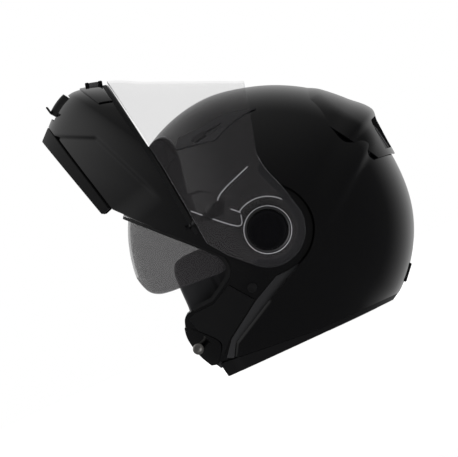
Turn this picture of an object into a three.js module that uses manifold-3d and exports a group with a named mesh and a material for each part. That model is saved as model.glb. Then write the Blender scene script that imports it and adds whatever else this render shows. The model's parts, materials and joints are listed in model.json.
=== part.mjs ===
// A flip-up motorcycle helmet: a hard shell on a foam liner, a chin bar that swings up about a side
// pivot and carries the clear face visor, and a tinted sun visor inside the brow.
// Millimetres, +Z up, the wearer faces -X and the wearer's left is -Y. The helmet stands on its rim.
import * as THREE from 'three';
import { mergeVertices } from 'three/addons/utils/BufferGeometryUtils.js';
import Module from 'manifold-3d';

const wasm = await Module();
wasm.setup();

// ---------- driving dimensions ----------
// Every outline is drawn in the side view as [x, z] measured from the chin bar's pivot axis, with the
// chin bar shut. Side angles are in degrees, from straight ahead (-X) upward.
const rimDepth = 113;             // the rim plane, below the pivot axis
const chinBarRaised = 75;         // how far the chin bar stands open, degrees
const squareness = 2.3;           // exponent of the cross-section, 2 would be an ellipse
const facetsAround = 40;
const facetsAcross = 16;
const softFacets = [30, 12];
const gap = 0.35;                 // between pieces that touch

const shellHalfWidth = 125;
const shellWall = 3.5;
const recessDepth = 6;            // the sides step in here where the chin bar lies
const linerInset = 5.2;           // the foam's surface, inside the shell's
const chinBarHalfWidth = shellHalfWidth - 1;
const chinBarWall = 2.7;
const visorHalfWidth = shellHalfWidth + 4;
const visorWall = 2.1;
const lensHalfWidth = shellHalfWidth - 10.5;
const lensWall = 2.2;
const ventRise = 1.4;             // the top vents stay under the raised visor

const hubRadius = 40.5;           // round end of the chin bar's arm
const earRadius = 36;             // round end of the visor's ear
const axleRadius = 6.5;
const axleHole = 6.95;
const pivotRingRadius = 22.8;
const pivotCapRadius = 19;
const strikerRadius = 4.1;
const strikerAt = [-108.2, -76];
const hookPivotAt = [-130, -62];
const hookSwing = 20;             // the hook hangs open by this much while the chin bar is up
const plugAt = [-36.6, -44.3];
const strapWidth = 22;
const strapThickness = 2;

const looks = {
  gloss: { color: 0x0b0b0e, roughness: 0.12, metalness: 0 },
  satin: { color: 0x16161a, roughness: 0.45, metalness: 0 },
  clear: { color: 0xe4e0e4, roughness: 0.05, metalness: 0, transparent: true, opacity: 0.3 },
  smoke: { color: 0x4a464c, roughness: 0.08, metalness: 0, transparent: true, opacity: 0.6 },
  foam: { color: 0x2a2a2e, roughness: 0.85, metalness: 0 },
  fabric: { color: 0x1c1c20, roughness: 0.95, metalness: 0 },
  rubber: { color: 0x101012, roughness: 0.7, metalness: 0 },
  steel: { color: 0xa9a49c, roughness: 0.3, metalness: 1 },
  silver: { color: 0xc4c4c6, roughness: 0.3, metalness: 0.9 },
};

// ---------- side-view radii, [angle, radius] pairs joined by a smooth closed curve ----------
const shellRadii = [
  [0, 141], [60, 139.7], [90, 140], [105, 138.7], [120, 140], [146, 144.5], [174, 140.2],
  [200, 141.5], [228, 141], [240, 139], [270, 160], [295, 168], [312, 165], [331, 150],
];
const chinBarRadii = [
  [0, 192], [90, 190], [180, 190], [270, 190], [295, 195], [315, 214], [326, 231], [333, 233],
  [344, 231.5], [352, 207.5],
];
const visorRadii = [
  [0, 185.8], [10, 164.8], [20, 152.4], [30.5, 145.6], [45, 149], [60, 160], [90, 182], [180, 190],
  [270, 195], [315, 215], [340, 225], [351, 215],
];
const cavityRadii = [
  [0, 150], [30, 118], [60, 106], [120, 106], [180, 108], [215, 108], [240, 116], [270, 150],
  [300, 172], [330, 172],
];
const spoilerRadii = [
  [0, 141], [90, 140], [130, 142.3], [146, 146.5], [155.7, 152.6], [160, 147.5], [170, 142.4],
  [200, 141.5], [270, 160], [312, 165],
];

const radians = THREE.MathUtils.degToRad;

function smoothRadius(table, extra = 0) {
  const count = table.length;
  const knot = (i) => {
    const turn = Math.floor(i / count);
    const [angle, radius] = table[i - turn * count];
    return [angle + 360 * turn, radius];
  };
  const slope = (i) => (knot(i + 1)[1] - knot(i - 1)[1]) / (knot(i + 1)[0] - knot(i - 1)[0]);
  return (degrees) => {
    const angle = ((degrees % 360) + 360) % 360;
    let i = count - 1;
    while (i > 0 && table[i][0] > angle) i -= 1;
    const [from, low] = knot(i);
    const [to, high] = knot(i + 1);
    const span = to - from;
    const t = (angle - from) / span;
    const blend = t * t * (3 - 2 * t);
    const leave = t * (1 - t) * (1 - t) * span * slope(i);
    const arrive = t * t * (t - 1) * span * slope(i + 1);
    return low + (high - low) * blend + leave + arrive + extra;
  };
}

// ---------- solids ----------
function solid(geometry) {
  const bare = geometry.index ? geometry.clone() : geometry;
  bare.deleteAttribute('normal');
  bare.deleteAttribute('uv');
  const merged = mergeVertices(bare, 1e-4);
  const mesh = new wasm.Mesh({
    numProp: 3,
    vertProperties: new Float32Array(merged.attributes.position.array),
    triVerts: new Uint32Array(merged.index.array),
  });
  mesh.merge();
  return new wasm.Manifold(mesh);
}

function geometryOf(body) {
  const mesh = body.getMesh();
  const geometry = new THREE.BufferGeometry();
  geometry.setAttribute('position', new THREE.BufferAttribute(mesh.vertProperties, 3));
  geometry.setIndex(new THREE.BufferAttribute(mesh.triVerts, 1));
  geometry.computeVertexNormals();
  return geometry;
}

// A sphere with its poles on the pivot axis, stretched so that every ray in the side view ends at
// radiusAt(angle) and every section through the axis is a rounded square.
function bulge(radiusAt, halfWidth, around = facetsAround, across = facetsAcross) {
  const geometry = new THREE.SphereGeometry(1, around, across);
  const place = geometry.attributes.position;
  const power = 2 / squareness;
  for (let i = 0; i < place.count; i += 1) {
    const x = place.getX(i);
    const y = place.getY(i);
    const z = place.getZ(i);
    const out = Math.hypot(x, z);
    const angle = Math.atan2(z, -x);
    const radius = out < 1e-6 ? 0 : radiusAt(THREE.MathUtils.radToDeg(angle)) * out ** power;
    const side = Math.sign(y) * halfWidth * Math.abs(y) ** power;
    place.setXYZ(i, -Math.cos(angle) * radius, side, Math.sin(angle) * radius);
  }
  return solid(geometry);
}

// The wall between two bulges that share a side view: outer and inner are offsets from it.
function wall(table, halfWidth, outer, inner) {
  const outside = bulge(smoothRadius(table, outer), halfWidth + outer);
  return outside.subtract(bulge(smoothRadius(table, inner), halfWidth + inner));
}

const wide = 300;

// A side-view outline pushed through the helmet along Y, from y = low to y = high.
function prism(outline, low = -wide, high = wide) {
  const points = outline.map(([x, z]) => new THREE.Vector2(x, z));
  if (THREE.ShapeUtils.isClockWise(points)) points.reverse();
  const shape = new THREE.Shape(points);
  const geometry = new THREE.ExtrudeGeometry(shape, { depth: high - low, bevelEnabled: false });
  geometry.rotateX(Math.PI / 2).translate(0, high, 0);
  return solid(geometry);
}

function block(center, size) {
  return solid(new THREE.BoxGeometry(...size).translate(...center));
}

// A round bar along Y at [x, z], from |y| = near to |y| = far, on the given side (-1 is left).
function bar([x, z], radius, near, far, side, facets = 24) {
  const geometry = new THREE.CylinderGeometry(radius, radius, far - near, facets);
  return solid(geometry.translate(x, (side * (near + far)) / 2, z));
}

const leftHalf = [-wide, 0];
const rightHalf = [0, wide];
const halfOf = (side) => (side < 0 ? leftHalf : rightHalf);

const polar = (angle, radius) => [
  -Math.cos(radians(angle)) * radius,
  Math.sin(radians(angle)) * radius,
];

function arc(radius, from, to, steps = 14) {
  return Array.from({ length: steps + 1 }, (_, i) => polar(from + ((to - from) * i) / steps, radius));
}

// A smooth open curve through the given side-view points.
function curve(points, steps = 14) {
  const spline = new THREE.CatmullRomCurve3(points.map(([x, z]) => new THREE.Vector3(x, 0, z)));
  return spline.getPoints(steps).map((p) => [p.x, p.z]);
}

// The strip that lies between two offsets of an open side-view line, to the left of its direction.
function strip(line, from, to) {
  const offset = (distance) => line.map((point, i) => {
    const before = line[Math.max(i - 1, 0)];
    const after = line[Math.min(i + 1, line.length - 1)];
    const run = new THREE.Vector2(after[0] - before[0], after[1] - before[1]).normalize();
    return [point[0] - run.y * distance, point[1] + run.x * distance];
  });
  return [...offset(from), ...offset(to).reverse()];
}

function shrunk(outline, factor) {
  const middle = [0, 1].map((k) => outline.reduce((sum, p) => sum + p[k], 0) / outline.length);
  return outline.map((p) => p.map((value, k) => middle[k] + (value - middle[k]) * factor));
}

// ---------- shared outlines ----------
const browEdge = [[-150, 101], [-121.1, 71.1], [-63.2, 11.3]];
const portCorner = curve([[-63.2, 11.3], [-50, -5], [-49, -19.5], [-58.4, -29.2], [-76.7, -39.5]], 12);
const cheekTop = [[-97, -40.3], [-104.6, -41]];
const cheekFront = curve([[-104.6, -41], [-109.6, -47], [-113, -63], [-108.6, -83.7], [-97, -106],
  [-92.5, -116]], 10);
const portLine = [...browEdge.slice(0, 2), ...portCorner, ...cheekTop.slice(0, 1)];
const openFront = [
  [-260, 180], ...browEdge.slice(0, 2), ...portCorner, ...cheekTop.slice(0, 1), ...cheekFront,
  [-92.5, -150], [-260, -150],
];
const bandFront = [[-95, -150], [-91, -118], [-72.5, -85.9], [-27, -62.2]];
const recess = [
  [-260, -150], ...bandFront, ...arc(45, 238, 72, 16), [-44, 62], [-72, 66], [-92, 46], [-260, 46],
];
const visorLower = [[-201, -27.9], [-107.5, -39.1], [-54.5, -48.1]];
const belowVisor = visorLower.map(([x, z]) => [x, z - 1.4]);
const chinBarOutline = [
  [-112.5, -rimDepth], [-117, -106], [-27.7, -60], ...arc(hubRadius, 242.7, -33, 20),
  ...belowVisor.slice().reverse(), [-260, -22.5], [-260, -rimDepth],
];
const trimSeam = [[-260, -99], [-210, -99], [-150, -101.5], [-110, -103]];
const wedgeSeam = [[-120, -96.5], [-90, -98], [1, -107], [160, -109.3]];

// ---------- assembly ----------
const helmet = new THREE.Group();
const chinBar = new THREE.Group();
chinBar.rotation.y = radians(chinBarRaised);
helmet.add(chinBar);

function add(group, name, look, body) {
  const mesh = new THREE.Mesh(geometryOf(body), new THREE.MeshStandardMaterial(looks[look]));
  mesh.name = name;
  group.add(mesh);
}

const sides = [['left', -1], ['right', 1]];
const eachSide = (build) => sides.map(([word, side]) => build(word, side));
const joined = (bodies) => bodies.reduce((whole, body) => whole.add(body));
const bores = (radius, near = 100, far = 140) => joined(
  eachSide((word, side) => bar([0, 0], radius, near, far, side)),
);
const strikerHoles = joined(
  eachSide((word, side) => bar(strikerAt, strikerRadius + gap, 50, 100, side)),
);

// ---------- shell ----------
const cheekHalfWidth = shellHalfWidth - recessDepth;
const mainBody = bulge(smoothRadius(shellRadii), shellHalfWidth);
const recessedBody = bulge(smoothRadius(shellRadii, -0.6), cheekHalfWidth - 0.6);
const shellHollow = bulge(smoothRadius(shellRadii, -shellWall), cheekHalfWidth - shellWall);
const shellOutside = mainBody.subtract(prism(recess)).add(recessedBody);
const aboveWedge = prism([...wedgeSeam, [160, 300], [-300, 300], [-300, -96.5]]);
const plugHoles = joined(eachSide((word, side) => bar(plugAt, 5.2, 100, 140, side, 20)));

function outerShell() {
  return shellOutside
    .subtract(shellHollow)
    .subtract(prism(openFront))
    .intersect(aboveWedge)
    .subtract(bores(axleHole))
    .subtract(strikerHoles)
    .subtract(plugHoles);
}
add(helmet, 'outer_shell', 'gloss', outerShell());

function rimTrim() {
  const seam = wedgeSeam.map(([x, z]) => [x, z - gap]);
  const below = prism([...seam, [160, -rimDepth], [-120, -rimDepth]]);
  return shellOutside
    .subtract(shellHollow)
    .intersect(below)
    .subtract(prism(openFront));
}
add(helmet, 'rim_trim', 'rubber', rimTrim());

function eyeportGasket() {
  const band = prism(strip(portLine, -gap, -3.2));
  return wall(shellRadii, cheekHalfWidth, 0.6, -3.3).intersect(band);
}
add(helmet, 'eyeport_gasket', 'rubber', eyeportGasket());

const latchSeam = curve([[-120, -49], [-109.9, -52.6], [-95.5, -65.5], [-85.7, -80.3], [-95.5, -96.1],
  [-96, -99]], 8);
const sidePanelOutline = [
  [-104, -46], [-97, -43.8], [-76.7, -43], [-56, -32.5], [-39.5, -55.2], [-75.5, -78.6], [-90.5, -93.4],
];
const panelWall = wall(shellRadii, cheekHalfWidth, 1, gap - 0.6);
const plugWall = wall(shellRadii, cheekHalfWidth, 1, -2.6);
const aheadOfSeam = prism([...latchSeam, [-200, -99], [-200, -49]]);
eachSide((word, side) => {
  const half = halfOf(side);
  const inset = 1.2;
  const panel = panelWall
    .intersect(prism(sidePanelOutline, ...half))
    .subtract(prism(strip(latchSeam, -gap, gap)))
    .subtract(aheadOfSeam);
  add(helmet, `side_panel_${word}`, 'satin', panel);
  const frontEdge = strip(cheekFront, -40, inset);
  const latchPanel = panelWall
    .intersect(aheadOfSeam)
    .intersect(block([-100, side * 60, -72], [60, 119, 49]))
    .subtract(prism(frontEdge))
    .subtract(prism(openFront))
    .subtract(strikerHoles);
  add(helmet, `latch_panel_${word}`, 'gloss', latchPanel);
  const plug = plugWall.intersect(bar(plugAt, 4.8, 90, 140, side, 20));
  add(helmet, `shell_plug_${word}`, 'satin', plug);
  const pin = bar(strikerAt, strikerRadius, 62, 85, side).add(bar(strikerAt, 5.6, 85, 87, side));
  add(helmet, `striker_pin_${word}`, 'steel', pin);
});

// ---------- pivots ----------
eachSide((word, side) => {
  const axle = bar([0, 0], axleRadius, lensHalfWidth - lensWall, visorHalfWidth + 0.6, side);
  add(helmet, `pivot_axle_${word}`, 'steel', axle);
  const plate = bar([0, 0], 21, cheekHalfWidth + 0.2, cheekHalfWidth + 0.9, side, 32);
  add(helmet, `pivot_plate_${word}`, 'steel', plate.subtract(bores(axleHole)));
  const coverFoot = visorHalfWidth + 1;
  const ring = bar([0, 0], pivotRingRadius, coverFoot, coverFoot + 2, side, 40)
    .subtract(bar([0, 0], pivotCapRadius + gap, 120, 140, side, 40));
  add(helmet, `pivot_ring_${word}`, 'gloss', ring);
  const cap = bar([0, 0], pivotCapRadius, coverFoot, coverFoot + 3, side, 40)
    .subtract(block([0, side * (coverFoot + 3), 0], [17, 2.4, 3.2]));
  add(helmet, `pivot_cap_${word}`, 'gloss', cap);
});

// ---------- liner and padding ----------
const lensSweep = [[0, 0], ...arc(220, -38, 102, 10)];
const cavityHalfWidth = 84;
const cavity = bulge(smoothRadius(cavityRadii), cavityHalfWidth, ...softFacets);
const softInside = (inset, halfWidth) => bulge(
  smoothRadius(cavityRadii, -inset), halfWidth, ...softFacets,
);

function foamLiner() {
  const full = bulge(
    smoothRadius(shellRadii, -linerInset), cheekHalfWidth - linerInset, ...softFacets,
  );
  const slim = bulge(smoothRadius(shellRadii, -9), lensHalfWidth - lensWall - 1, ...softFacets);
  const hub = joined(eachSide((word, side) => bar([0, 0], 19, 100, 140, side)));
  return full
    .subtract(prism(lensSweep))
    .subtract(hub)
    .add(slim)
    .subtract(cavity)
    .subtract(prism(openFront.map(([x, z]) => [x + 3, z])))
    .intersect(block([0, 0, 48], [400, 400, 300]))
    .subtract(strikerHoles);
}
add(helmet, 'foam_liner', 'foam', foamLiner());

function crownPad() {
  return softInside(0.6, cavityHalfWidth - 0.6)
    .subtract(softInside(11, cavityHalfWidth - 11))
    .intersect(prism([[-40, 20], [-74, 120], [0, 160], [140, 120], [104, -40], [60, 0]]));
}
add(helmet, 'crown_pad', 'fabric', crownPad());

const cheekPadOutline = [
  [-101, -2], [-103.5, -38], [-108.5, -62], [-105, -83], [-95, -101], [10, -101], [14, -70],
  [-12, -38], [-30, 12], [-84, 13], [-96, 9],
];
eachSide((word, side) => {
  const pad = softInside(0.6, cavityHalfWidth - 0.6)
    .subtract(softInside(13, cavityHalfWidth - 20))
    .intersect(prism(cheekPadOutline, ...halfOf(side)));
  add(helmet, `cheek_pad_${word}`, 'fabric', pad);
});

function neckRoll() {
  return bulge(
    smoothRadius(shellRadii, -linerInset), cheekHalfWidth - linerInset, ...softFacets,
  )
    .subtract(softInside(9, cavityHalfWidth - 16))
    .intersect(prism([[-84, -102.4], [200, -102.4], [200, -112], [-80, -112]]));
}
add(helmet, 'neck_roll', 'fabric', neckRoll());

// ---------- sun visor ----------
const lensOutline = [
  ...arc(200, 50, -4, 8), [-121, -12], [-108, -15], [-57, -19], [-20, -12], ...arc(14, -40, -230, 12),
  [-30, 22],
];
function sunVisorLens() {
  const rim = { table: [[0, 134.6], [90, 134.6], [180, 134.6], [270, 134.6]] };
  return wall(rim.table, lensHalfWidth, 0, -lensWall)
    .intersect(prism(lensOutline))
    .subtract(bores(axleHole));
}
add(helmet, 'sun_visor_lens', 'smoke', sunVisorLens());

// ---------- vents on the crown and back ----------
const topVentOutline = [
  [-47.8, 105.9], [-15.9, 100.1], [-9.7, 99.1], [5.3, 104.9], [23.6, 109.2], [38.1, 109.7],
  [22, 114], [6.3, 117.4], [-13.5, 115], [-41, 114.5],
];
const patch = (from, to, low, high) => [...arc(low, from, to, 6), ...arc(high, to, from, 6)];
const sliderWindow = patch(74, 91, 107, 113);
const sliderOutline = patch(75, 81.5, 107.5, 112.5);
const ventWall = wall(shellRadii, shellHalfWidth, ventRise, gap);
eachSide((word, side) => {
  const vent = ventWall
    .intersect(prism(topVentOutline, ...halfOf(side)))
    .subtract(prism(sliderWindow));
  add(helmet, `top_vent_${word}`, 'gloss', vent);
  const slider = ventWall.intersect(prism(sliderOutline, ...halfOf(side)));
  add(helmet, `top_vent_slider_${word}`, 'satin', slider);
});

const spoilerOutline = [
  [82, 96], [92, 72], [112, 40], [124, 18], [170, 10], [170, 140], [96, 140],
];
const grilleOutline = [[118, 48], [128, 24], [160, 20], [160, 44], [140, 56]];
const grilleZone = prism(grilleOutline, -46, 46);
function rearSpoiler() {
  const outside = bulge(smoothRadius(spoilerRadii, 1.6), shellHalfWidth + 1.6);
  return outside
    .subtract(bulge(smoothRadius(shellRadii, gap), shellHalfWidth + gap))
    .intersect(prism(spoilerOutline))
    .subtract(grilleZone);
}
add(helmet, 'rear_vent_spoiler', 'gloss', rearSpoiler());

const grilleBars = joined([-30, -10, 10, 30].map((y) => block([140, y, 40], [80, 12, 60])));
add(helmet, 'rear_vent_grille', 'satin', wall(shellRadii, shellHalfWidth, 2.4, gap)
  .intersect(prism(shrunk(grilleOutline, 0.96), -45.4, 45.4))
  .subtract(wall(shellRadii, shellHalfWidth, 4, 1.6).intersect(grilleBars)));

function rearTab() {
  return wall(shellRadii, shellHalfWidth, 4, gap)
    .intersect(prism([[98, -84], [130, -84], [130, -103], [92, -103]], -14, 14));
}
add(helmet, 'rear_tab', 'satin', rearTab());

// The sun visor's slider sits low on the wearer's right, just above the rim.
add(helmet, 'sun_visor_slider', 'satin', wall(shellRadii, shellHalfWidth, 4, 1)
  .intersect(prism([[4, -103], [22, -103], [22, -94], [4, -94]], ...rightHalf)));

// ---------- chin strap, fastened and pushed up inside ----------
const strapLoop = (side, from, to) => {
  const points = [];
  for (let i = 0; i <= 10; i += 1) {
    const turn = radians(from + ((to - from) * i) / 10);
    points.push([side * 55.5 * Math.cos(turn), -64 - 40 * Math.sin(turn)]);
  }
  return points;
};
function webbing(line) {
  const outline = strip(line, -strapThickness / 2, strapThickness / 2);
  const points = outline.map(([y, z]) => new THREE.Vector2(y, z));
  if (THREE.ShapeUtils.isClockWise(points)) points.reverse();
  const geometry = new THREE.ExtrudeGeometry(new THREE.Shape(points), {
    depth: strapWidth, bevelEnabled: false,
  });
  geometry.rotateX(Math.PI / 2).rotateZ(Math.PI / 2).translate(-44, 0, 0);
  return solid(geometry);
}
add(helmet, 'strap_left', 'fabric', webbing(strapLoop(-1, 0, 66)));
add(helmet, 'strap_right', 'fabric', webbing(strapLoop(1, 0, 66)));
const buckleY = -2;
add(helmet, 'buckle_body', 'steel', block([-33, buckleY, -104], [25, 33, 4]));
add(helmet, 'buckle_lever', 'steel', block([-33, buckleY + 1, -100.3], [20, 26, 2.4]));

// ---------- chin bar ----------
const ventHole = block([-226, 0, -78], [40, 54, 25]);
const chinShellWall = wall(chinBarRadii, chinBarHalfWidth, 0, -chinBarWall);
const chinBarSide = prism(chinBarOutline);
const aboveTrim = prism([...trimSeam, [-90, -103], [80, -80], [80, 80], [-260, 80]]);
const belowTrim = prism([
  ...trimSeam.map(([x, z]) => [x, z - gap]), [-100, -106], [-100, -rimDepth], [-260, -rimDepth],
]);
const buttonAt = [-196, 0, -106.5];

add(chinBar, 'chin_bar_shell', 'gloss', chinShellWall
  .intersect(chinBarSide)
  .intersect(aboveTrim)
  .subtract(ventHole)
  .subtract(bores(axleHole)));

add(chinBar, 'chin_bar_trim', 'satin', wall(chinBarRadii, chinBarHalfWidth, 0.4, -chinBarWall - 6)
  .intersect(chinBarSide)
  .intersect(belowTrim)
  .subtract(block(buttonAt, [15.4, 31.4, 30])));

function chinLiner() {
  const outside = bulge(smoothRadius(chinBarRadii, -chinBarWall - gap), chinBarHalfWidth - 4);
  return outside
    .subtract(bulge(() => 150, shellHalfWidth + 1))
    .subtract(bulge(smoothRadius(chinBarRadii, -30), chinBarHalfWidth - 26))
    .intersect(block([-180, 0, -67.5], [118, 148, 62]))
    .intersect(prism([[-119, -39], [-119, -101], [-260, -96], [-260, -28], [-201, -33], [-125, -42]]))
    .subtract(block([-222, 0, -78], [20, 58, 29]));
}
add(chinBar, 'chin_bar_liner', 'foam', chinLiner());

function flap() {
  const plate = new THREE.BoxGeometry(2.2, 50, 21);
  return solid(plate.rotateY(radians(12)).translate(-224.5, 0, -77.5));
}
add(chinBar, 'chin_vent_flap', 'gloss', flap());

add(chinBar, 'chin_slider', 'silver', solid(new THREE.BoxGeometry(5, 26, 13)
  .rotateY(radians(26))
  .translate(-215.4, 0, -38.6)));

add(chinBar, 'release_button', 'satin', block(buttonAt, [14, 30, 8]));

// The hook's claw closes round the striker pin from the front and from below.
const aroundStriker = (radius, from, to) => Array.from({ length: 9 }, (_, i) => {
  const turn = radians(from + ((to - from) * i) / 8);
  return [strikerAt[0] + radius * Math.cos(turn), strikerAt[1] + radius * Math.sin(turn)];
});
const latchHookOutline = [
  [-137, -68], [-137, -56], [-124, -55], [-119, -63], ...aroundStriker(5.2, 160, 300),
  ...aroundStriker(10.5, 300, 190), [-131, -70],
].map(([x, z]) => {
  const [across, up] = [x - hookPivotAt[0], z - hookPivotAt[1]];
  const [cosine, sine] = [Math.cos(radians(hookSwing)), Math.sin(radians(hookSwing))];
  return [
    hookPivotAt[0] + across * cosine + up * sine,
    hookPivotAt[1] - across * sine + up * cosine,
  ];
});
eachSide((word, side) => {
  const hollow = bulge(smoothRadius(chinBarRadii, -chinBarWall - gap), chinBarHalfWidth - 3.1);
  const post = bar(hookPivotAt, 4, 79, 120, side).intersect(hollow);
  add(chinBar, `latch_post_${word}`, 'steel', post);
  const [near, far] = [80, 84.4];
  const hook = prism(latchHookOutline, ...(side < 0 ? [-far, -near] : [near, far]));
  add(chinBar, `latch_hook_${word}`, 'steel', hook.subtract(bar(hookPivotAt, 4.4, 60, 120, side)));
});

// ---------- face visor ----------
const visorOutline = [
  [-260, -23], ...visorLower, [-27.4, -53], [-3.6, -44], ...arc(earRadius, 232, 96, 12),
  [-22, 37], [-47, 35.5], [-62, 37.8], [-260, 153],
];
add(chinBar, 'face_visor', 'clear', wall(visorRadii, visorHalfWidth, 0, -visorWall)
  .intersect(prism(visorOutline))
  .subtract(bores(axleHole)));

// ---------- stand it on its rim, centred ----------
helmet.updateMatrixWorld(true);
const box = new THREE.Box3().setFromObject(helmet, true);
helmet.position.set(-(box.min.x + box.max.x) / 2, 0, rimDepth);
helmet.updateMatrixWorld(true);

export default helmet;
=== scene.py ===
import json
import math

import bmesh
import bpy
from mathutils import Matrix, Vector

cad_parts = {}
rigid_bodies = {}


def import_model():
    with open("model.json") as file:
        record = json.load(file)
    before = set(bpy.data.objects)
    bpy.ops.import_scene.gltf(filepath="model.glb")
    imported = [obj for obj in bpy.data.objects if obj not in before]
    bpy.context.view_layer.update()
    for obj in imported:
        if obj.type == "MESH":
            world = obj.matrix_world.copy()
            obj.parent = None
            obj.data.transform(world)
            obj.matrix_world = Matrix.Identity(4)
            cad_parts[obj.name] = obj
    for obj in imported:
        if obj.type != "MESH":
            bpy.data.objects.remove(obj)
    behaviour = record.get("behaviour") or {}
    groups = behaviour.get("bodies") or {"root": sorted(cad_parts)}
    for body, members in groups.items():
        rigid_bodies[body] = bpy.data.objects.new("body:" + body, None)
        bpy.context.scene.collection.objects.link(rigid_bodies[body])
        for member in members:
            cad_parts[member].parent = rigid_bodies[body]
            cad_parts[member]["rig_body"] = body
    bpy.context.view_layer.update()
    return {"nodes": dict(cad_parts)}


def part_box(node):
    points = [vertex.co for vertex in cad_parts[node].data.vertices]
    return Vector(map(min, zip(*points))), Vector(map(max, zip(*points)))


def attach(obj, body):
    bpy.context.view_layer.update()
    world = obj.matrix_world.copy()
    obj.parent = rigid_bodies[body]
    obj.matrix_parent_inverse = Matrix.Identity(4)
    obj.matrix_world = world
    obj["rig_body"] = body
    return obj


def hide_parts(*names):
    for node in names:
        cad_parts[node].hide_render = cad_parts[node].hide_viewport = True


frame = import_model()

# ---------- outer shell ----------
# The hard shell is moulded from resin and glass under gloss black paint. It is drawn as a side view
# around the chin bar's pivot and swelled to rounded-square sections. One dome carries everything, and
# a lower recess in front of it takes the chin bar's arms.

MM = 0.001
SQUARENESS = 2.3
SHELL_HALF_WIDTH = 125.0
SHELL_WALL = 3.5
RECESS_DEPTH = 6.0
SHELL_RADII = [
    (0, 141), (60, 139.7), (90, 140), (105, 138.7), (120, 140), (146, 144.5), (174, 140.2),
    (200, 141.5), (228, 141), (240, 139), (270, 160), (295, 168), (312, 165), (331, 150),
]
BROW_EDGE = [(-121.1, 71.1), (-150, 101)]
WEDGE_SEAM = [(1, -107), (160, -109.3)]
EDGE_ROUNDING = 0.7
ARC_STEP = 4
RUN_STEPS = 60
CROSSING_STEPS = 50
MIDDLE_STEPS = 240
POLE = 90
SHELL_MIDDLE = Vector((0, 0, 0.11))
MERGE, SLIVER = 0.00004, 0.00002
ROUNDING_STEPS, ROUNDING_ANGLE = 2, math.radians(58)

axle_low, axle_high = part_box("pivot_axle_left")
PIVOT = Vector(((axle_low.x + axle_high.x) / 2, 0, (axle_low.z + axle_high.z) / 2))


def smooth_step(low, high, value):
    t = min(1.0, max(0.0, (value - low) / (high - low)))
    return t * t * (3 - 2 * t)


def radius_curve(table):
    """A smooth closed curve through (side angle, radius) pairs."""
    count = len(table)

    def knot(i):
        turn, k = divmod(i, count)
        return table[k][0] + 360 * turn, table[k][1]

    def slope(i):
        before, after = knot(i - 1), knot(i + 1)
        return (after[1] - before[1]) / (after[0] - before[0])

    def radius(degrees):
        angle = degrees % 360
        i = max(k for k in range(-1, count) if knot(k)[0] <= angle)
        (start, low), (end, high) = knot(i), knot(i + 1)
        span = end - start
        t = (angle - start) / span
        leave = t * (1 - t) ** 2 * span * slope(i)
        arrive = t * t * (t - 1) * span * slope(i + 1)
        return low + (high - low) * t * t * (3 - 2 * t) + leave + arrive

    return radius


def spot(radius, angle):
    """A side-view point round the pivot, by side angle from straight ahead upwards."""
    a = math.radians(angle)
    return -radius * math.cos(a), radius * math.sin(a)


def arc(radius, start, end):
    """Points on a circle round the pivot, from one side angle to another."""
    steps = max(2, round(abs(end - start) / ARC_STEP))
    return [spot(radius, start + (end - start) * k / steps) for k in range(steps + 1)]


def off_line(x, z, line):
    """How far a side-view point lies from a line of straight runs."""
    found = []
    for (ax, az), (bx, bz) in zip(line, line[1:]):
        dx, dz = bx - ax, bz - az
        t = min(1.0, max(0.0, ((x - ax) * dx + (z - az) * dz) / (dx * dx + dz * dz)))
        found.append(math.hypot(x - ax - t * dx, z - az - t * dz))
    return min(found)


def rounded(points, steps=8):
    """A smooth curve through the points of a side view."""
    line = []
    for i in range(len(points) - 1):
        p0, p1 = points[max(0, i - 1)], points[i]
        p2, p3 = points[i + 1], points[min(len(points) - 1, i + 2)]
        for k in range(steps):
            t = k / steps
            line.append(tuple(
                b + 0.5 * t * (c - a + t * (2 * a - 5 * b + 4 * c - d + t * (3 * (b - c) + d - a)))
                for a, b, c, d in zip(p0, p1, p2, p3)
            ))
    return line + [points[-1]]


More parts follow.
